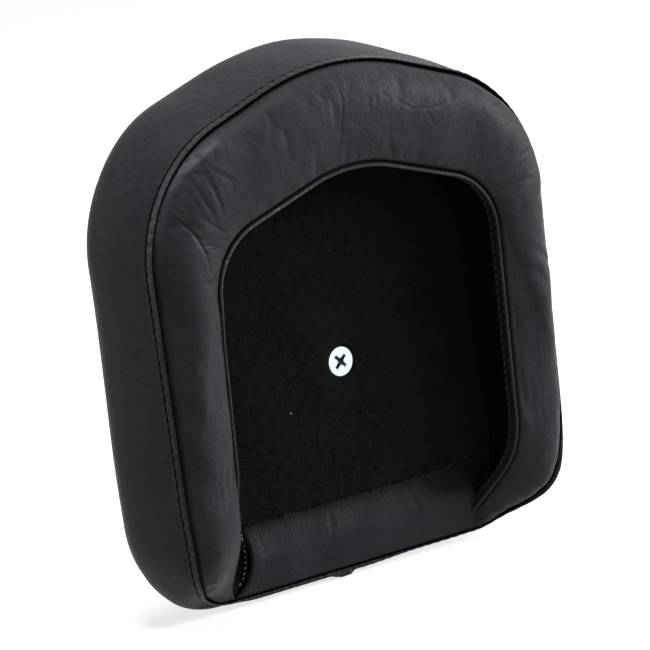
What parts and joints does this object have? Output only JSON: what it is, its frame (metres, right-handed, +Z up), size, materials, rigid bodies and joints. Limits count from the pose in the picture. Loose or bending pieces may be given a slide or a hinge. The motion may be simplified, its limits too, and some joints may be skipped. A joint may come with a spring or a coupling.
{
  "type": "sissy bar pad",
  "caption": "Upholstered motorbike backrest pad: a foam cushion on a board, with a rear pocket under a padded rim and a carpeted clamp panel held by one screw.",
  "frame": {"origin": "on the clamp screw's axis, where it meets the carpeted closing panel's face", "axes": "+Y out of the mounting side, along the clamp screw; +Z up the pad, as it stands on the motorbike; +X across"},
  "size_m": [0.2052, 0.0688, 0.2202],
  "materials": {
    "vinyl": "satin",
    "lining": "matt",
    "foam": "matt",
    "carpet": "matt",
    "plywood": "raw",
    "hardboard": "raw",
    "zinc_steel": "zinc plated"
  },
  "bodies": {
    "root": {"front_panel": "vinyl", "side_band": "vinyl", "rim_panel": "vinyl", "lower_flap": "vinyl", "rim_facing": "vinyl", "pocket_lining": "lining", "foam_core": "foam", "rim_foam": "foam", "skirt_foam": "foam", "foot_foam": "foam", "baseboard": "plywood", "carpet_board": "hardboard", "carpet": "carpet", "staples": "zinc_steel", "clamp_screw": "zinc_steel", "tee_nut": "zinc_steel"}
  },
  "joints": []
}
